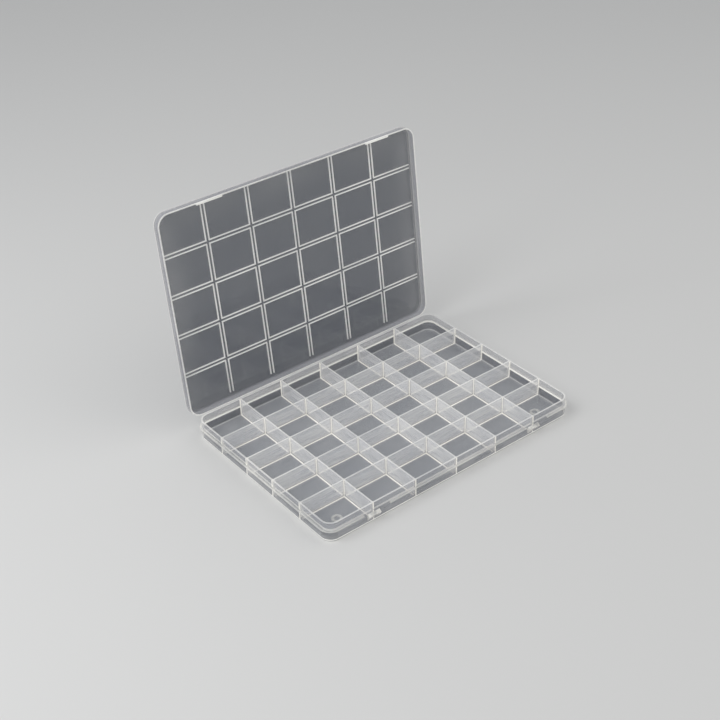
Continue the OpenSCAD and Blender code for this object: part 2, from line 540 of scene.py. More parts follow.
class Sheet:
    """A node tree that is filled one node at a time."""

    def __init__(self, tree: bpy.types.NodeTree) -> None:
        """Takes the tree to fill."""
        self.tree = tree

    def feed(self, sockets: dict[str, bpy.types.NodeSocket], inputs: dict[str | int, Fed]) -> None:
        """Sets some inputs to values, or links them to outputs.

        Args:
            sockets: The inputs to choose from, by name or number.
            inputs: A value or an output socket for each of them.
        """
        for name, value in inputs.items():
            if isinstance(value, bpy.types.NodeSocket):
                self.tree.links.new(value, sockets[name])
            else:
                sockets[name].default_value = value

    def node(self, kind: str, inputs: dict[str | int, Fed] | None = None, **settings: object) -> bpy.types.Node:
        """Adds one node.

        Args:
            kind: The node's Blender type.
            inputs: A value or an output socket for each input, by name or number.
            settings: The node's own settings.

        Returns:
            The node.
        """
        made = self.tree.nodes.new(kind)
        for name, value in settings.items():
            setattr(made, name, value)
        self.feed(made.inputs, inputs or {})
        return made

    def effect(self, effect: Effect, inputs: dict[str | int, Fed] | None = None) -> bpy.types.Node:
        """Adds one of the shared effects and returns its node."""
        return self.node("ShaderNodeGroup", inputs, node_tree=bpy.data.node_groups[effect.value])

    def place(self) -> bpy.types.NodeSocket:
        """Adds the place on the object and returns its output."""
        return self.node("ShaderNodeTexCoord").outputs["Object"]

    def plan(self) -> bpy.types.NodeSocket:
        """Adds the place on the plan sheet and returns its output."""
        return self.node("ShaderNodeUVMap", uv_map="plan").outputs[0]

    def noise(self, place: Fed, scale: Fed, detail: float, roughness: float = 0.5) -> bpy.types.NodeSocket:
        """Adds a Noise Texture node and returns its output."""
        inputs = {"Vector": place, "Scale": scale, "Detail": detail, "Roughness": roughness}
        return self.node("ShaderNodeTexNoise", inputs).outputs[0]

    def math(self, operation: str, a: Fed, b: Fed = 0.0) -> bpy.types.NodeSocket:
        """Adds a Math node and returns its output."""
        return self.node("ShaderNodeMath", {0: a, 1: b}, operation=operation).outputs[0]

    def spread(
        self, value: Fed, low: float, high: float, to_low: float = 0.0, to_high: float = 1.0
    ) -> bpy.types.NodeSocket:
        """Adds a smooth Map Range node and returns its output."""
        inputs = {"Value": value, "From Min": low, "From Max": high, "To Min": to_low, "To Max": to_high}
        return self.node("ShaderNodeMapRange", inputs, interpolation_type="SMOOTHSTEP").outputs[0]

    def between(self, low: Fed, high: Fed, share: Fed) -> bpy.types.NodeSocket:
        """Adds nodes that go from one value to another, and returns their output."""
        span = self.math("SUBTRACT", high, low)
        return self.math("ADD", low, self.math("MULTIPLY", share, span))

    def blend(self, amount: Fed, a: Fed, b: Fed) -> bpy.types.NodeSocket:
        """Adds a Mix node for colours.

        Args:
            amount: How much of the second colour shows.
            a: The first colour.
            b: The second colour.

        Returns:
            Its output.
        """
        inputs = {0: amount, 6: a, 7: b}
        opaque = {i: (*value, 1.0) if isinstance(value, tuple) else value for i, value in inputs.items()}
        return self.node("ShaderNodeMix", opaque, data_type="RGBA").outputs[2]


def new_group(effect: Effect, inputs: dict[str, float | Colour], outputs: dict[str, str]) -> tuple[Sheet, dict, dict]:
    """Starts a shader node group.

    Args:
        effect: The effect that it makes.
        inputs: Its inputs with their usual values. A colour is three numbers.
        outputs: Its outputs with their socket types.

    Returns:
        The sheet to fill, the input sockets, and the output sockets.
    """
    tree = bpy.data.node_groups.new(effect.value, "ShaderNodeTree")
    for name, value in inputs.items():
        is_colour = isinstance(value, tuple)
        kind = "NodeSocketColor" if is_colour else "NodeSocketFloat"
        socket = tree.interface.new_socket(name, in_out="INPUT", socket_type=kind)
        socket.default_value = (*value, 1.0) if is_colour else value
    for name, kind in outputs.items():
        tree.interface.new_socket(name, in_out="OUTPUT", socket_type=kind)
    sheet = Sheet(tree)
    start = sheet.node("NodeGroupInput")
    end = sheet.node("NodeGroupOutput")
    return sheet, {s.name: s for s in start.outputs}, {s.name: s for s in end.inputs}


def make_cloud_group() -> None:
    """Cloudy haze of natural polypropylene: slow patches and fine flow streaks shift colour and cover."""
    sheet, given, wanted = new_group(
        Effect.CLOUD,
        {
            "Thin Colour": (0.5, 0.5, 0.5),
            "Thick Colour": (0.7, 0.7, 0.7),
            "Thin Cover": 0.3,
            "Thick Cover": 0.5,
            "Patches": 30.0,
            "Streaks": 0.4,
        },
        {"Colour": "NodeSocketColor", "Cover": "NodeSocketFloat"},
    )
    slow = sheet.noise(sheet.place(), given["Patches"], detail=2.0)
    stretch = (9.0, 330.0, 1.0)
    drawn_out = sheet.node("ShaderNodeVectorMath", {0: sheet.plan(), 1: stretch}, operation="MULTIPLY").outputs[0]
    flow = sheet.noise(drawn_out, 1.0, detail=3.0, roughness=0.6)
    shift = sheet.math("SUBTRACT", flow, slow)
    mixed = sheet.math("ADD", slow, sheet.math("MULTIPLY", shift, given["Streaks"]))
    mask = sheet.spread(mixed, low=0.36, high=0.64)
    colour = sheet.blend(mask, given["Thin Colour"], given["Thick Colour"])
    sheet.feed(wanted, {"Colour": colour, "Cover": sheet.between(given["Thin Cover"], given["Thick Cover"], mask)})


def make_skin_group() -> None:
    """Moulded skin: faint waves from the tool's polish, and patches a little duller than the rest."""
    sheet, given, wanted = new_group(
        Effect.SKIN,
        {"Waves": 40.0, "Low Roughness": 0.1, "High Roughness": 0.2},
        {"Roughness": "NodeSocketFloat", "Height": "NodeSocketFloat"},
    )
    place = sheet.place()
    wave = sheet.noise(place, given["Waves"], detail=2.0)
    dull = sheet.spread(sheet.noise(place, 70.0, detail=4.0), low=0.4, high=0.65)
    roughness = sheet.between(given["Low Roughness"], given["High Roughness"], dull)
    sheet.feed(wanted, {"Height": wave, "Roughness": roughness})


def make_speck_group() -> None:
    """Fine bright specks, as in cut and trimmed edges."""
    sheet, given, wanted = new_group(
        Effect.SPECK,
        {"Density": 700.0, "Amount": 0.3},
        {"Mask": "NodeSocketFloat"},
    )
    cells = sheet.node("ShaderNodeTexVoronoi", {"Vector": sheet.place(), "Scale": given["Density"]})
    mask = sheet.spread(cells.outputs["Distance"], low=0.1, high=0.5, to_low=1.0, to_high=0.0)
    sheet.feed(wanted, {"Mask": sheet.math("MULTIPLY", mask, given["Amount"])})


def make_border_group() -> None:
    """Light that gathers toward the borders of a clear sheet, read from its plan coordinates."""
    sheet, given, wanted = new_group(
        Effect.BORDER,
        {"Half Width": 0.45, "Half Depth": 0.315, "Fade": 0.09},
        {"Mask": "NodeSocketFloat"},
    )
    parts = sheet.node("ShaderNodeSeparateXYZ", {0: sheet.plan()})
    drift = sheet.noise(sheet.place(), 22.0, detail=2.0)
    masks = []
    for axis, half in (("X", "Half Width"), ("Y", "Half Depth")):
        off = sheet.math("ABSOLUTE", sheet.math("SUBTRACT", parts.outputs[axis], 0.5))
        gap = sheet.math("SUBTRACT", given[half], off)
        share = sheet.math("DIVIDE", gap, given["Fade"])
        masks.append(sheet.spread(share, low=0.0, high=1.0, to_low=1.0, to_high=0.0))
    both = sheet.math("MAXIMUM", masks[0], sheet.math("MULTIPLY", masks[1], 0.6))
    uneven = sheet.spread(drift, low=0.2, high=0.7, to_low=0.35, to_high=1.0)
    sheet.feed(wanted, {"Mask": sheet.math("MULTIPLY", both, uneven)})


# ---------------------------------------------------------------- finishes


@dataclass(frozen=True)
class ClearPlastic:
    """Natural polypropylene as it looks on one kind of face.

    Cover is the share of the light behind a face that the face hides, from 0 to 1. From_behind
    is how much of that cover is left where the face is seen from within the plastic. Glow makes
    the face give off its own colour as light, though it is no lamp: painted light that stands in
    for light carried through the plastic. Border is a lighter colour toward a sheet's edges:
    painted light.
    """

    name: str
    thin: Colour
    thick: Colour
    cover: tuple[float, float]
    roughness: tuple[float, float] = (0.12, 0.24)
    patches: float = 30.0
    streaks: float = 0.5
    wave_depth: float = 0.05
    specks: float = 0.0
    specular: float = 0.5
    glow: float = 0.0
    border: Colour | None = None
    from_behind: float = 1.0

    def toward(self, other: "ClearPlastic", share: float) -> "ClearPlastic":
        """Makes a finish that lies between this one and another.

        Args:
            other: The finish at the far end.
            share: How far to go toward it, from 0 to 1.

        Returns:
            The finish in between.
        """

        def mix(a: Sequence[float], b: Sequence[float]) -> tuple[float, ...]:
            """Mixes two rows of numbers."""
            return tuple(p + (q - p) * share for p, q in zip(a, b))

        specular, glow = mix((self.specular, self.glow), (other.specular, other.glow))
        return replace(
            self,
            name=f"{self.name}_{round(100 * share)}",
            thin=mix(self.thin, other.thin),
            thick=mix(self.thick, other.thick),
            cover=mix(self.cover, other.cover),
            specular=specular,
            glow=glow,
        )

    def material(self) -> bpy.types.Material:
        """Builds the material, or returns it if it's there already.

        Returns:
            The material.
        """
        found = bpy.data.materials.get(self.name)
        if found:
            return found
        made = bpy.data.materials.new(self.name)
        made.use_nodes = True
        sheet = Sheet(made.node_tree)
        cloud = sheet.effect(
            Effect.CLOUD,
            {
                "Thin Colour": (*self.thin, 1.0),
                "Thick Colour": (*self.thick, 1.0),
                "Thin Cover": self.cover[0],
                "Thick Cover": self.cover[1],
                "Patches": self.patches,
                "Streaks": self.streaks,
            },
        )
        skin = sheet.effect(Effect.SKIN, {"Low Roughness": self.roughness[0], "High Roughness": self.roughness[1]})
        colour, cover = cloud.outputs["Colour"], cloud.outputs["Cover"]
        # Painted light: a lighter colour toward the sheet's borders.
        if self.border:
            colour = sheet.blend(sheet.effect(Effect.BORDER).outputs["Mask"], colour, self.border)
        if self.specks:
            speck = sheet.effect(Effect.SPECK, {"Amount": self.specks})
            colour = sheet.blend(speck.outputs["Mask"], colour, (1.0, 1.0, 1.0))
        if self.from_behind < 1:
            behind = sheet.node("ShaderNodeNewGeometry").outputs["Backfacing"]
            kept = sheet.spread(behind, low=0.0, high=1.0, to_low=1.0, to_high=self.from_behind)
            cover = sheet.math("MULTIPLY", cover, kept)
        waves = {"Height": skin.outputs["Height"], "Strength": 0.2, "Distance": self.wave_depth * MM}
        dressed = {
            "Base Color": colour,
            "Alpha": cover,
            "Roughness": skin.outputs["Roughness"],
            "Normal": sheet.node("ShaderNodeBump", waves).outputs["Normal"],
            "IOR": 1.5,
            "Specular IOR Level": self.specular,
        }
        # Painted light: the face gives off its own colour, though it is no lamp.
        if self.glow:
            dressed |= {"Emission Color": colour, "Emission Strength": self.glow}
        sheet.feed(made.node_tree.nodes["Principled BSDF"].inputs, dressed)
        return made


FLOOR_SHEET = ClearPlastic(
    "tray_floor_haze", (0.28, 0.30, 0.34), (0.41, 0.425, 0.45), (0.38, 0.46), streaks=0.7, specular=0.6
)
# The outer wall's inner faces have darker finishes and its outer faces lighter ones, though it is one plastic: painted
# shade inside and painted light outside, over the milky haze. The lower inner faces are a near-black sheet of painted
# shade.
UPPER_INSIDE = ClearPlastic("upper_wall_inside", (0.26, 0.27, 0.31), (0.38, 0.39, 0.42), (0.20, 0.28), wave_depth=0.02)
UPPER_OUTSIDE = ClearPlastic(
    "upper_wall_outside", (0.56, 0.57, 0.60), (0.72, 0.72, 0.73), (0.28, 0.38), wave_depth=0.02
)
LOWER_INSIDE = ClearPlastic(
    "lower_wall_inside", (0.07, 0.08, 0.11), (0.13, 0.14, 0.17), (0.62, 0.72), wave_depth=0.02, from_behind=0.42
)
LOWER_OUTSIDE = ClearPlastic(
    "lower_wall_outside", (0.44, 0.45, 0.47), (0.60, 0.60, 0.61), (0.40, 0.52), wave_depth=0.02
)
# Milky haze of the dividers, much lighter than the same plastic in the floor and with glow: painted light, standing in
# for light that passes through them.
DIVIDER_SHEET = ClearPlastic(
    "divider_haze_and_glow", (0.76, 0.77, 0.80), (0.95, 0.94, 0.92), (0.24, 0.34), streaks=0.8, wave_depth=0.02, glow=0.14
)
# Near-white finish with glow on the rounded rim and the lid's plate ends: painted highlight.
RIM_EDGE = ClearPlastic("rim_edge", (0.78, 0.78, 0.77), (0.92, 0.91, 0.88), (0.50, 0.62), wave_depth=0.0, glow=0.06)
# Cream lines with glow where dividers meet the floor and the walls: painted highlight on the fillets, with fine
# specks.
JUNCTION = ClearPlastic("junction_glow", (0.88, 0.85, 0.78), (0.98, 0.95, 0.89), (0.66, 0.80), specks=0.2, glow=0.22)
# Near-white foot with strong glow: painted light, a bright line standing in for light caught in the rounded foot.
FOOT_EDGE = ClearPlastic("foot_edge", (0.90, 0.89, 0.84), (0.98, 0.97, 0.93), (0.72, 0.88), glow=0.5, from_behind=0.1)
# The ring's faces are lighter than the floor they stand on, and glow: painted light.
RING = ClearPlastic("moulded_ring", (0.60, 0.60, 0.58), (0.80, 0.79, 0.75), (0.34, 0.50), glow=0.06)
WALL_FOOT = ClearPlastic("inner_wall_foot", (0.24, 0.25, 0.28), (0.34, 0.35, 0.37), (0.40, 0.50))
# A cream band with strong glow on the inner wall, where the ledge lies behind it: painted light, standing in for the
# lit ledge seen through the wall.
WALL_BAND = ClearPlastic(
    "wall_over_ledge", (0.86, 0.84, 0.78), (0.97, 0.95, 0.90), (0.64, 0.80), glow=0.32, from_behind=0.7
)
# Near-white mottled finish with glow on the guard lugs: painted highlight and painted light.
LUG_HIGHLIGHT = ClearPlastic(
    "lug_highlight_glow", (0.70, 0.69, 0.66), (0.95, 0.93, 0.88), (0.45, 0.75), patches=260.0, streaks=0.2, glow=0.10
)
# Lighter finish with glow for the ledge and other faces that stand out: painted light.
LEDGE = ClearPlastic("ledge_glow", (0.66, 0.66, 0.64), (0.84, 0.83, 0.79), (0.40, 0.54), glow=0.07)
# Milky haze of the lid panel, painted near-black and bluish, much darker than the same plastic in the tray floor:
# painted shade. Its lighter border colour is painted light.
PANEL_SHEET = ClearPlastic(
    "lid_panel_haze_and_shade",
    (0.046, 0.057, 0.084),
    (0.082, 0.094, 0.124),
    (0.59, 0.67),
    roughness=(0.08, 0.14),
    patches=18.0,
    streaks=0.3,
    wave_depth=0.008,
    specular=1.0,
    border=(0.20, 0.21, 0.23),
)
# The lid's inner faces, fold and skirt inside, are painted darker and the skirt's outer face lighter, though it is one
# plastic: painted shade and painted light over the haze.
FOLD = ClearPlastic("lid_inner_fold", (0.12, 0.125, 0.15), (0.19, 0.20, 0.23), (0.66, 0.78), specular=0.25)
SKIRT_INSIDE = ClearPlastic("lid_skirt_inside", (0.20, 0.21, 0.25), (0.30, 0.31, 0.35), (0.44, 0.54), specular=0.2)
SKIRT_OUTSIDE = ClearPlastic("lid_skirt_outside", (0.48, 0.48, 0.51), (0.62, 0.62, 0.64), (0.36, 0.48), specular=0.3)
# Near-white edge with glow: painted highlight on the lid's roundover, its tabs and the tray's plate ends. EDGE_FADE
# steps it down toward the skirt's outer finish.
LID_EDGE = ClearPlastic("lid_edge", (0.84, 0.83, 0.79), (0.97, 0.96, 0.92), (0.66, 0.82), glow=0.14)
EDGE_STEPS = 6
EDGE_FADE = [LID_EDGE.toward(SKIRT_OUTSIDE, i / EDGE_STEPS) for i in range(EDGE_STEPS + 1)]
# Near-white ribs with glow: painted highlight on the seal ribs, with fine specks.
RIB_EDGE = ClearPlastic("seal_rib_edge", (0.84, 0.84, 0.82), (0.96, 0.95, 0.92), (0.66, 0.80), specks=0.2, glow=0.12)
# Milky haze of the hinge film and the plates' faces, with glow: painted light.
FILM_SHEET = ClearPlastic("hinge_film_haze_and_glow", (0.62, 0.62, 0.64), (0.80, 0.79, 0.78), (0.66, 0.80), glow=0.06)


# ---------------------------------------------------------------- parting a moulding into pieces


@dataclass(frozen=True)
class Patch:
    """Where one face of a moulding belongs: the CAD node that it's part of, and its finish."""

    node: str
    finish: ClearPlastic


def plan_at(at: Vector, axis: int, box: BoxSizes) -> Flat:
    """Lays a point on the plan sheet of the side that its face looks to, with no seam round the box's corners.

    Args:
        at: The point.
        axis: The axis that the face looks along.
        box: The box's sizes.

    Returns:
        Its place on the sheet, with 0.5 in the middle.
    """
    across, up = (at[i] for i in range(3) if i != axis)
    if axis == 0 and abs(at.x) > box.inside_w / 2 - box.corner_r:
        across = math.copysign(abs(across) + (box.inside_w - box.inside_d) / 2, at.x)
    return across / SHEET_SPAN + 0.5, up / SHEET_SPAN + 0.5


def parted(
    box: BoxSizes, mesh: bpy.types.Mesh, sort: Callable[[Vector, Vector], Patch], turn: Matrix
) -> dict[str, bpy.types.Object]:
    """Parts a moulding into one object for each CAD node, seam to seam.

    Args:
        box: The box's sizes.
        mesh: The whole moulding, in millimetres.
        sort: Says where a face belongs, from its middle and its outward direction.
        turn: The move from the drawn place to the place at rest, in millimetres.

    Returns:
        The objects by node, in metres.
    """
    groups: dict[str, list[tuple[int, ClearPlastic]]] = {}
    for face in mesh.polygons:
        patch = sort(face.center, face.normal)
        groups.setdefault(patch.node, []).append((face.index, patch.finish))
    pieces = {}
    for node, members in groups.items():
        finishes = list(dict.fromkeys(finish for _, finish in members))
        seen: dict[int, int] = {}
        faces = []
        for index, _ in members:
            faces.append([seen.setdefault(v, len(seen)) for v in mesh.polygons[index].vertices])
        points = [Vector(mesh.vertices[v].co) for v in seen]
        made = bpy.data.meshes.new(node + "_moulding")
        made.from_pydata([tuple((turn @ p) * MM) for p in points], [], faces)
        for finish in finishes:
            made.materials.append(finish.material())
        layer = made.uv_layers.new(name="plan")
        for face, (index, finish) in zip(made.polygons, members):
            drawn = mesh.polygons[index]
            axis = max(range(3), key=lambda i: abs(drawn.normal[i]))
            face.material_index = finishes.index(finish)
            face.use_smooth = abs(drawn.normal[axis]) < FLAT
            for loop in face.loop_indices:
                layer.data[loop].uv = plan_at(points[made.loops[loop].vertex_index], axis, box)
        made.update()
        pieces[node] = put(node + "_moulding", made)
    return pieces


# ---------------------------------------------------------------- the tray


@dataclass
class Tray:
    """The tray: floor, walls, ledge, dividers, catches and strip plates, moulded in one.

    Band_reach is how far the bright band of painted light on the inner wall reaches above and
    below the ledge, and near is how far a detail's own faces may lie outside its size.
    """

    box: BoxSizes
    cell_r: float = 0.45
    least_r: float = 0.05
    band_reach: float = 0.15
    near: float = 0.3
    ring_r: float = 3.2
    ring_band: float = 1.6
    ring_h: float = 0.5
    ring_edge: float = 0.15
    ring_root: float = 0.2
    ring_steps: int = 32
    lug_w: float = 8.4
    lug_proud: float = 1.6
    lug_slope_h: float = 1.3
    lug_nose_h: float = 0.5
    lug_h: float = 4.2
    lug_gap: float = 0.3
    lug_edge: float = 0.1
    click_w: float = 12.0
    click_gap: float = 0.15

    def blank(self) -> Form:
        """The outside of the tray with its rounded foot and its ledge, still solid.

        Returns:
            The closed form.
        """
        b = self.box
        foot = arc((-b.foot_r, b.foot_r), b.foot_r, -90, 0, 5)
        low, high, e = b.ledge_top - b.ledge_t, b.ledge_top, b.ledge_r
        under = arc((b.ledge_proud - e, low + e), e, -90, 0, 3)
        over = arc((b.ledge_proud - e, high - e), e, 0, 90, 3)
        ledge = [(0.0, low), *under, *over, (0.0, high)]
        lip = arc((-b.lip_r, b.rim_z - b.lip_r), b.lip_r, 0, 90, 2)
        return swept_wall(b.tray_w, b.tray_d, b.corner_r, foot + ledge + lip)

    def cell(self, column: int, row: int) -> Form:
        """The hollow of one compartment, rounded at its bottom and flared at its lip.

        Args:
            column: The column, from 0 at the left.
            row: The row, from 1 at the back.

        Returns:
            The closed form to carve out.
        """
        b = self.box
        low = b.cell_low(column, row)
        high = (low[0] + b.cell_w, low[1] + b.cell_d)
        left, right, back, front = b.borders(column, row)
        at_box_corner = (right and back, left and back, left and front, right and front)
        wide, narrow = Corner(b.corner_r - b.wall_t, 10), Corner(self.cell_r, 3)
        rounds = [wide if there else narrow for there in at_box_corner]
        f, e = b.fillet_r, b.lip_r
        section = [(-f + x, z) for x, z in arc((0.0, b.floor_t + f), f, -90, 0, 4)]
        section += [(e + x, z) for x, z in arc((0.0, b.rim_z - e), e, 180, 90, 2)]
        section += [(e, b.rim_z + 1)]
        rings = []
        for out, z in section:
            corners = [Corner(max(corner.radius + out, self.least_r), corner.steps) for corner in rounds]
            rings.append(rounded_ring((low[0] - out, low[1] - out), (high[0] + out, high[1] + out), z, corners))
        return loft(rings)

    def ring(self, side: int) -> Form:
        """The low ring on the floor of a front corner compartment.

        Args:
            side: -1 at the left, 1 at the right.

        Returns:
            The closed form to fuse on.
        """
        b = self.box
        x, y = side * b.ring_at[0], b.ring_at[1]
        half, e = self.ring_band / 2, self.ring_edge
        top, low = b.floor_t + self.ring_h, b.floor_t - self.ring_root
        section = [(half, low), (half, top - e), (half - e, top), (e - half, top), (-half, top - e), (-half, low)]
        turns = [2 * math.pi * i / self.ring_steps for i in range(self.ring_steps)]
        reaches = [(self.ring_r - half + out, z) for out, z in section]
        return loft([[(x + r * math.cos(t), y + r * math.sin(t), z) for r, z in reaches] for t in turns], closed=True)

    def catch(self, side: int) -> tuple[Form, Form]:
        """The click ridge and the guard lug below it.

        Args:
            side: -1 at the left, 1 at the right.

        Returns:
            The ridge and the lug, to fuse on.
        """
        b = self.box
        crest, step = b.skirt_gap - b.crest_gap, b.click_h / 3
        low = b.tab_z + b.click_h + self.click_gap
        ridge = [
            (-ROOT, low + NUDGE),
            (0.0, low + NUDGE),
            (crest, low + step),
            (crest, low + 2 * step),
            (0.0, low + b.click_h),
            (-ROOT, low + b.click_h),
        ]
        top, proud, e = b.tab_z - self.lug_gap, self.lug_proud, self.lug_edge
        nose = top - self.lug_slope_h
        lug = [
            (-ROOT, top),
            (0.0, top),
            (proud - 1.5 * e, nose + 1.2 * e),
            (proud, nose - e / 2),
            (proud, nose - self.lug_nose_h + e),
            (proud - e, nose - self.lug_nose_h),
            (0.0, top - self.lug_h),
            (-ROOT, top - self.lug_h),
        ]
        return (
            front_bar(b, b.tab_x(side), self.click_w, ridge),
            front_bar(b, side * b.catch_x, self.lug_w, lug),
        )

    def notch(self, side: int) -> Form:
        """The gap in the ledge that lets a tab of the lid through.

        Args:
            side: -1 at the left, 1 at the right.

        Returns:
            The closed form to carve out.
        """
        b = self.box
        middle, half = b.tab_x(side), b.tab_w / 2 + b.tab_gap
        # It stops just short of the wall, so that the wall's face stays whole.
        low = (middle - half, -b.tray_d / 2 - b.ledge_proud - 1)
        high = (middle + half, -b.tray_d / 2 - 0.8 * TOUCH)
        heights = (b.ledge_top - b.ledge_t - 1, b.ledge_top + 1)
        return loft([rounded_ring(low, high, z, [SHARP] * 4) for z in heights])

    def moulding(self) -> bpy.types.Mesh:
        """Works the whole tray out of its blank.

        Returns:
            The mesh, in millimetres.
        """
        b = self.box
        mesh = self.blank().mesh("tray")
        mesh = worked(mesh, Form().add(self.notch(-1), self.notch(1)), Join.CARVE)
        extras = Form()
        for side in (-1, 1):
            extras.add(*self.catch(side), strip_plate(b, side, b.ledge_top - b.ledge_t))
        mesh = worked(mesh, extras, Join.FUSE)
        mesh = worked(mesh, Form().add(*(self.cell(*place) for place in b.cells())), Join.CARVE)
        mesh = worked(mesh, Form().add(self.ring(-1), self.ring(1)), Join.FUSE)
        reach = b.divider_t / 2
        xs = [b.divider_x(i) + s * reach for i in range(1, b.columns) for s in (-1, 1)]
        ys = [b.divider_y(i) + s * reach for i in range(1, b.rows) for s in (-1, 1)]

        def on_top(p: Vector) -> bool:
            """Whether a point lies on a rounded top."""
            return p.z > b.rim_z - b.lip_r - TOUCH

        scored(mesh, on_top, 0, xs + [-b.inside_w / 2, b.inside_w / 2])
        scored(mesh, on_top, 1, ys + [-b.inside_d / 2, b.inside_d / 2])
        scored(mesh, lambda p: abs(p.y) > b.tray_d / 2 - TOUCH, 0, xs)
        scored(mesh, lambda p: abs(p.x) > b.tray_w / 2 - TOUCH, 1, ys)

        def in_wall(p: Vector) -> bool:
            """Whether a point lies on the inner face of the outer wall."""
            return abs(standoff(p, b.tray_w, b.tray_d, b.corner_r) + b.wall_t) < SEAM

        scored(mesh, in_wall, 2, self.band())
        return mesh

    def band(self) -> Flat:
        """Lower and upper height of the bright band of painted light on the inner wall, behind the ledge."""
        return self.box.ledge_top - self.box.ledge_t - self.band_reach, self.box.ledge_top + self.band_reach

    def sort(self, at: Vector, out: Vector) -> Patch:
        """Says which node a face of the tray belongs to, and its finish.

        Args:
            at: The face's middle.
            out: Its outward direction.

        Returns:
            The patch.
        """
        b = self.box
        if at.y > b.lid_d / 2 + TOUCH:
            return Patch("tray_hinge_plates", LID_EDGE if out.y > LOOKING else FILM_SHEET)
        from_catch = abs(at.x - b.tab_x(-1 if at.x < 0 else 1)) - self.click_w / 2
        if at.y < -b.tray_d / 2 - SEAM and from_catch < self.near:
            ridge = at.z > b.ledge_top - b.ledge_t
            return Patch("tray_catch_left" if at.x < 0 else "tray_catch_right", UPPER_OUTSIDE if ridge else LUG_HIGHLIGHT)
        from_ring = math.hypot(abs(at.x) - b.ring_at[0], at.y - b.ring_at[1]) - self.ring_r
        if from_ring < self.near and at.z > b.floor_t + TOUCH:
            return Patch("floor_rings", RING)
        if abs(out.z) > LEVEL and at.z < b.floor_t + TOUCH:
            return Patch("tray_shell", FLOOR_SHEET)
        on_rim = at.z > b.rim_z - b.lip_r - TOUCH
        columns = {i: abs(at.x - b.divider_x(i)) for i in range(1, b.columns)}
        rows = {i: abs(at.y - b.divider_y(i)) for i in range(1, b.rows)}
        column, row = min(columns, key=columns.get), min(rows, key=rows.get)
        out_of_tray = standoff(at, b.tray_w, b.tray_d, b.corner_r)
        if out_of_tray < SEAM - b.wall_t and at.z > b.floor_t:
            reach = b.divider_t / 2 + b.fillet_r + TOUCH
            finish = RIM_EDGE if on_rim else DIVIDER_SHEET if max(abs(out.x), abs(out.y)) > FLAT else JUNCTION
            if columns[column] < reach and columns[column] <= rows[row]:
                return Patch(f"long_divider_{column}", finish)
            if rows[row] < reach:
                return Patch(f"cross_divider_{row}", finish)
        return Patch("tray_shell", self.wall_finish(at, out, on_rim, min(columns[column], rows[row])))

    def wall_finish(self, at: Vector, out: Vector, on_rim: bool, from_divider: float) -> ClearPlastic:
        """Says which finish a face of the outer wall or the ledge has.

        Args:
            at: The face's middle.
            out: Its outward direction.
            on_rim: Whether it lies on the rounded rim.
            from_divider: How far it lies from the middle of the nearest divider.

        Returns:
            The finish.
        """
        b = self.box
        out_of_tray = standoff(at, b.tray_w, b.tray_d, b.corner_r)
        if on_rim:
            return RIM_EDGE
        if out_of_tray < -b.wall_t / 2:
            # Inner faces: the darker finishes of painted shade, and the band of painted light over the ledge.
            low, high = self.band()
            if abs(out.z) > UPRIGHT:
                return WALL_FOOT
            return UPPER_INSIDE if at.z > high else LOWER_INSIDE if at.z < low else WALL_BAND
        if out_of_tray > SEAM or abs(out.z) > LOOKING and at.z > b.foot_r:
            return LEDGE
        if at.z < b.foot_r:
            return FOOT_EDGE
        # Bright lines on the outer wall in line with the dividers: painted light, standing in for the divider ends
        # seen through the wall.
        if from_divider < b.divider_t / 2 and abs(out.z) < UPRIGHT:
            return JUNCTION
        return LOWER_OUTSIDE if at.z < b.ledge_top else UPPER_OUTSIDE

    def dress(self) -> dict[str, bpy.types.Object]:
        """Builds the tray's pieces, each standing for its own CAD node.

        Returns:
            The pieces by node.
        """
        pieces = parted(self.box, self.moulding(), self.sort, Matrix.Identity(4))
        for node, piece in pieces.items():
            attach(piece, "tray")
            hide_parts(node)
        return pieces


def front_bar(box: BoxSizes, middle: float, width: float, profile: Iterable[Flat]) -> Form:
    """A bar along the front wall.

    Args:
        box: The box's sizes.
        middle: The X of its middle.
        width: Its length.
        profile: Its outline: how far in front of the wall, and the height.

    Returns:
        The closed form to fuse on.
    """
    return bar(middle - width / 2, middle + width / 2, [(-box.tray_d / 2 - out, z) for out, z in profile])


def strip_plate(box: BoxSizes, side: int, z: float) -> Form:
    """One plate of a hinge strip, rooted in the ledge or the skirt behind which it stands.

    Args:
        box: The box's sizes.
        side: -1 at the left, 1 at the right.
        z: The height of its lower face.

    Returns:
        The closed form to fuse on.
    """
    root, end = box.lid_d / 2 - ROOT, box.lid_d / 2 + box.plate_l
    middle, half = side * box.strip_x, box.strip_w / 2
    edge, low, high = box.plate_edge, z + NUDGE, z + box.ledge_t - NUDGE
    section = [(-edge, low), (0.0, low + edge), (0.0, high - edge), (-edge, high)]
    corners = [PLATE_CORNER, PLATE_CORNER, SHARP, SHARP]
    return loft(
        [
            rounded_ring((middle - half - out, root), (middle + half + out, end + out), height, corners)
            for out, height in section
        ]
    )


# ---------------------------------------------------------------- the lid


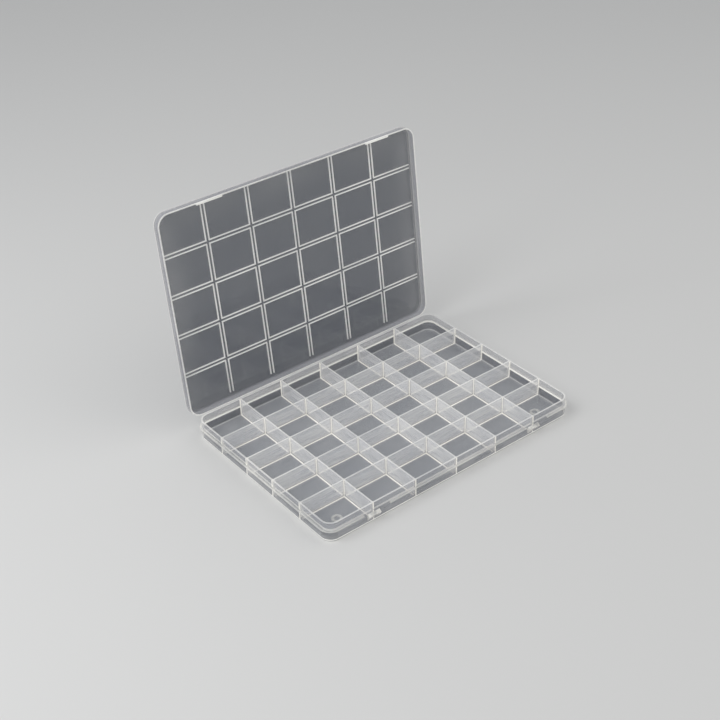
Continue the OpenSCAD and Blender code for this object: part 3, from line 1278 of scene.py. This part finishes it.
@dataclass
class Lid:
    """The lid: panel, skirt, paired seal ribs, tabs and strip plates, moulded in one.

    Fade_from is the turn round a corner, in degrees, at which the bright edge, a painted
    highlight, starts to fade toward the skirt's finish, and fade_over is the turn that it takes.
    """

    box: BoxSizes
    foot_r: float = 0.2
    foot_edge: float = 0.15
    fold_r: float = 0.45
    rib_t: float = 0.7
    rib_h: float = 0.7
    rib_gap: float = 0.3
    rib_end_gap: float = 0.45
    rib_hinge_gap: float = 1.7
    rib_edge: float = 0.14
    rib_root: float = 0.15
    tab_edge: float = 0.2
    tab_root: float = 0.5
    gate_r: float = 1.1
    gate_h: float = 0.14
    gate_edge: float = 0.12
    gate_root: float = 0.1
    gate_steps: int = 20
    fade_from: float = 15.0
    fade_over: float = 60.0

    def blank(self) -> Form:
        """The outside of the shut lid, still solid.

        Returns:
            The closed form.
        """
        b = self.box
        section = arc((-self.foot_r, b.skirt_z + self.foot_r), self.foot_r, -90, 0, 3)
        section += arc((-b.lid_edge_r, b.lid_top - b.lid_edge_r), b.lid_edge_r, 0, 90, 6)
        return swept_wall(b.lid_w, b.lid_d, b.lid_r, section)

    def hollow(self) -> Form:
        """What is carved out under the panel, between the skirts.

        Returns:
            The closed form to carve out.
        """
        b, e, f = self.box, self.foot_edge, self.fold_r
        section = [(e - b.skirt_t, b.skirt_z - 1), (e - b.skirt_t, b.skirt_z), (-b.skirt_t, b.skirt_z + e)]
        section += [(-b.skirt_t - f + x, z) for x, z in arc((0.0, b.panel_z - f), f, 0, 90, 4)]
        return swept_wall(b.lid_w, b.lid_d, b.lid_r, section)

    def frame_ribs(self, column: int, row: int) -> Form:
        """The ribs over one compartment: one beside each divider that borders it.

        Args:
            column: The column, from 0 at the left.
            row: The row, from 1 at the back.

        Returns:
            The closed form to fuse on.
        """
        b, half = self.box, self.rib_t / 2
        first = b.cell_low(column, row)
        left, right, back, front = b.borders(column, row)

        def edge(ends: bool) -> float:
            """How far the ribs' middle line stays off a border of the compartment."""
            return self.rib_end_gap if ends else self.rib_gap + half

        low = (first[0] + edge(left), first[1] + edge(front))
        high = (first[0] + b.cell_w - edge(right), first[1] + b.cell_d - (self.rib_hinge_gap if back else edge(False)))
        loop = [(high[0], high[1]), (low[0], high[1]), (low[0], low[1]), (high[0], low[1])]
        missing = [back, left, front, right]
        e, base, tip = self.rib_edge, b.panel_z + self.rib_root, b.panel_z - self.rib_h
        section = [(-half, base), (-half, tip + e), (e - half, tip), (half - e, tip), (half, tip + e), (half, base)]
        if not any(missing):
            return mitred_strip(loop, True, section)
        start = next(i for i in range(4) if missing[i - 1] and not missing[i])
        path = [loop[start]]
        for i in range(start, start + 4):
            if missing[i % 4]:
                break
            path.append(loop[(i + 1) % 4])
        return mitred_strip(path, False, section)

    def tab(self, side: int) -> Form:
        """The tab below the front skirt, with the bead inside that clicks under the ridge.

        Args:
            side: -1 at the left, 1 at the right.

        Returns:
            The closed form to fuse on.
        """
        b, e = self.box, self.tab_edge
        outer, inner = b.ledge_proud - NUDGE / 2, b.skirt_gap + NUDGE / 2
        low, up, step = b.tab_z, b.skirt_z + self.tab_root, b.click_h / 3
        profile = [
            (outer, up),
            (outer, low + e),
            (b.ledge_proud - e, low),
            (b.skirt_gap - e / 2, low),
            (b.crest_gap, low + step),
            (b.crest_gap, low + 2 * step),
            (inner, low + b.click_h),
            (inner, up),
        ]
        return front_bar(b, b.tab_x(side), b.tab_w, profile)

    def gate(self) -> Form:
        """The witness that the runner left in the middle of the panel's outer face.

        Returns:
            The closed form to fuse on.
        """
        z, r, e = self.box.lid_top, self.gate_r, self.gate_edge
        levels = [(r, z - self.gate_root), (r, z + e / 2), (r - e, z + self.gate_h)]
        turns = [2 * math.pi * i / self.gate_steps for i in range(self.gate_steps)]
        return loft([[(reach * math.cos(t), reach * math.sin(t), h) for t in turns] for reach, h in levels])

    def moulding(self) -> bpy.types.Mesh:
        """Works the whole lid out of its blank.

        Returns:
            The mesh of the shut lid, in millimetres.
        """
        b = self.box
        mesh = worked(self.blank().mesh("lid"), self.hollow(), Join.CARVE)
        extras = Form().add(*(self.frame_ribs(*place) for place in b.cells()))
        for side in (-1, 1):
            extras.add(self.tab(side), strip_plate(b, side, b.skirt_z))
        return worked(mesh, extras.add(self.gate()), Join.FUSE)

    def sort(self, at: Vector, out: Vector) -> Patch:
        """Says which node a face of the shut lid belongs to, and its finish.

        Args:
            at: The face's middle.
            out: Its outward direction.

        Returns:
            The patch.
        """
        b = self.box
        if at.y > b.lid_d / 2 + TOUCH:
            return Patch("lid_hinge_plates", RIM_EDGE if out.y > LOOKING else FILM_SHEET)
        if at.z < b.skirt_z - TOUCH:
            return Patch("lid_tab_left" if at.x < 0 else "lid_tab_right", LID_EDGE)
        from_outside = -standoff(at, b.lid_w, b.lid_d, b.lid_r)
        if from_outside > b.ledge_proud + b.wall_t and at.z < b.panel_z - TOUCH:
            row = min(b.rows, int((b.inside_d / 2 + b.divider_t / 2 - at.y) / b.pitch_y) + 1)
            return Patch(f"seal_ribs_{row}", RIB_EDGE)
        if at.z > b.lid_top + TOUCH:
            return Patch("lid_shell", LEDGE)
        if abs(out.z) > LEVEL and at.z > b.panel_z - TOUCH:
            return Patch("lid_shell", PANEL_SHEET)
        if at.z < b.skirt_z + self.foot_r:
            return Patch("lid_shell", LID_EDGE)
        if from_outside > b.skirt_t / 2 and at.z < b.panel_z:
            return Patch("lid_shell", FOLD if abs(out.z) > UPRIGHT else SKIRT_INSIDE)
        if abs(out.z) < UPRIGHT:
            return Patch("lid_shell", SKIRT_OUTSIDE)
        # Painted highlight on the roundover: full along the front and the sides, fading round the corners toward the
        # hinge edge.
        along = max(abs(at.x) - b.lid_w / 2 + b.lid_r, 0)
        turn = math.degrees(math.atan2(at.y - b.lid_d / 2 + b.lid_r, along))
        fade = min(max((turn - self.fade_from) / self.fade_over, 0), 1)
        return Patch("lid_shell", EDGE_FADE[round(EDGE_STEPS * fade)])

    def dress(self) -> dict[str, bpy.types.Object]:
        """Builds the lid's pieces, each standing for its own CAD node.

        Returns:
            The pieces by node.
        """
        pieces = parted(self.box, self.moulding(), self.sort, self.box.swing())
        for node, piece in pieces.items():
            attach(piece, "lid")
            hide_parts(node)
            if node == "lid_shell":
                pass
            elif node.startswith("seal_ribs"):
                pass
            else:
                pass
        return pieces


# ---------------------------------------------------------------- the hinge


@dataclass
class HingeFilm:
    """The thin film of one strip, which bends between the tray's plate and the lid's plate.

    Inset is how much narrower it is than the plates at each end, root is how deep it's moulded
    into them, pull is how straight it leaves them, and thinned is the share of its thickness
    that's left where it bends.
    """

    box: BoxSizes
    side: int
    name: str
    inset: float = 0.8
    root: float = 0.3
    pull: float = 0.55
    thinned: float = 0.8
    steps: int = 10

    def dress(self) -> bpy.types.Object:
        """Builds the film, drawn bent across the joint with the lid open.

        Returns:
            The piece.
        """
        b = self.box
        swing = b.swing()
        rise, half = b.film_t / 2, b.strip_w / 2 - self.inset
        tray_end = Vector((0, b.lid_d / 2 + b.plate_l, b.ledge_top - rise))
        lid_end = swing @ Vector((0, b.lid_d / 2 + b.plate_l, b.skirt_z + rise))
        inward = swing.to_3x3() @ Vector((0, -1, 0))
        reach = (lid_end - tray_end).length * self.pull
        p1, p2 = tray_end + Vector((0, reach, 0)), lid_end - inward * reach
        middle = [tray_end + Vector((0, -self.root, 0))]
        for i in range(self.steps + 1):
            t = i / self.steps
            a, c = (1 - t) ** 3, t**3
            middle.append(tray_end * a + p1 * (3 * t * (1 - t) ** 2) + p2 * (3 * t * t * (1 - t)) + lid_end * c)
        middle.append(lid_end + inward * self.root)
        low, high = self.side * b.strip_x - half, self.side * b.strip_x + half
        rings: list[Ring] = []
        for i, at in enumerate(middle):
            along = (middle[min(i + 1, len(middle) - 1)] - middle[max(i - 1, 0)]).normalized()
            up = Vector((0, -along.z, along.y)) * rise * (self.thinned if 2 < i < self.steps else 1.0)
            rings.append([(low, *(at - up).yz), (high, *(at - up).yz), (high, *(at + up).yz), (low, *(at + up).yz)])
        mesh = loft(rings).mesh(self.name + "_sheet")
        mesh.transform(Matrix.Scale(MM, 4))
        for face in mesh.polygons:
            face.use_smooth = abs(face.normal.x) < 0.5
        mesh.materials.append(FILM_SHEET.material())
        piece = put(self.name + "_sheet", mesh)
        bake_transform(piece)
        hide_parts(self.name)
        return piece


# ---------------------------------------------------------------- the studio


@dataclass(frozen=True)
class Softbox:
    """One soft studio lamp."""

    name: str
    place: Point
    size: float
    watts: float
    colour: Colour = (1.0, 1.0, 1.0)


@dataclass
class Studio:
    """Plain pale floor, soft light and the camera at the photograph's angle."""

    floor_colour: Colour = (0.62, 0.62, 0.615)
    floor_drift: float = 0.985
    floor_size: float = 12.0
    floor_z: float = -0.0002
    world_colour: Colour = (0.97, 0.985, 1.0)
    world_level: float = 0.55
    lamps_aim: Point = (0.0, 0.01, 0.03)
    clear_layers: int = 24
    lens: float = 65.506
    camera_at: Point = (-0.39405, -0.48844, 0.46578)
    camera_axes: tuple[Point, Point, Point] = (
        (0.78116168, 0.36303461, -0.50792942),
        (-0.62382951, 0.42133674, -0.65826446),
        (-0.02496345, 0.83107233, 0.55560382),
    )
    lamps: tuple[Softbox, ...] = (
        Softbox("key_softbox", (-0.66, 0.10, 0.78), 0.7, 5.8),
        Softbox("fill_softbox", (0.6, -0.5, 0.7), 0.8, 2.0, (1.0, 0.97, 0.93)),
    )

    def floor(self) -> bpy.types.Object:
        """Builds the floor that the box stands on.

        Returns:
            The floor, which is not part of the object.
        """
        mesh = bpy.data.meshes.new("floor")
        half, z = self.floor_size / 2, self.floor_z
        mesh.from_pydata([(-half, -half, z), (half, -half, z), (half, half, z), (-half, half, z)], [], [[0, 1, 2, 3]])
        made = bpy.data.materials.new("pale_floor")
        made.use_nodes = True
        sheet = Sheet(made.node_tree)
        cloud = sheet.noise(sheet.place(), 3.0, detail=2.0)
        darker = tuple(c * self.floor_drift for c in self.floor_colour)
        colour = sheet.blend(cloud, self.floor_colour, darker)
        sheet.feed(made.node_tree.nodes["Principled BSDF"].inputs, {"Base Color": colour, "Roughness": 0.55})
        mesh.materials.append(made)
        piece = put("floor", mesh)
        return piece

    def light(self) -> None:
        """Lights the scene with an even pale surround and soft lamps."""
        world = bpy.data.worlds.new("pale_surround")
        world.use_nodes = True
        light = {"Color": (*self.world_colour, 1.0), "Strength": self.world_level}
        Sheet(world.node_tree).feed(world.node_tree.nodes["Background"].inputs, light)
        bpy.context.scene.world = world
        for lamp in self.lamps:
            data = bpy.data.lights.new(lamp.name, "AREA")
            data.shape, data.size, data.energy, data.color = "SQUARE", lamp.size, lamp.watts, lamp.colour
            item = put(lamp.name, data)
            item.location = lamp.place
            aim = Vector(self.lamps_aim) - Vector(lamp.place)
            item.rotation_euler = aim.to_track_quat("-Z", "Y").to_euler()

    def camera(self) -> None:
        """Sets the camera at the photograph's viewpoint."""
        data = bpy.data.cameras.new("photo_view")
        data.lens, data.sensor_width = self.lens, 36.0
        data.clip_start, data.clip_end = 0.01, 50.0
        item = put("photo_view", data)
        item.matrix_world = Matrix.Translation(self.camera_at) @ Matrix(self.camera_axes).to_4x4()
        bpy.context.scene.camera = item

    def settings(self) -> None:
        """Keeps plain colours, and lets light pass through all the clear layers."""
        scene = bpy.context.scene
        scene.view_settings.view_transform = "Standard"
        scene.cycles.transparent_max_bounces = self.clear_layers

    def build(self) -> None:
        """Builds the whole studio."""
        self.floor()
        self.light()
        self.camera()
        self.settings()


def main() -> None:
    """Builds every sub-assembly in order and reports each piece."""
    logging.basicConfig(level=logging.INFO, format="%(name)s: %(message)s")
    box = BoxSizes()
    for make_group in (make_cloud_group, make_skin_group, make_speck_group, make_border_group):
        make_group()
    Studio().build()
    for assembly in (Tray(box), Lid(box)):
        for node, piece in sorted(assembly.dress().items()):
            LOG.info("%s stands for %s, %d faces", piece.name, node, len(piece.data.polygons))
    for side, name in ((-1, "hinge_film_left"), (1, "hinge_film_right")):
        film = HingeFilm(box, side, name).dress()
        LOG.info("%s bends between tray and lid", film.name)


if __name__ == "__main__":
    main()
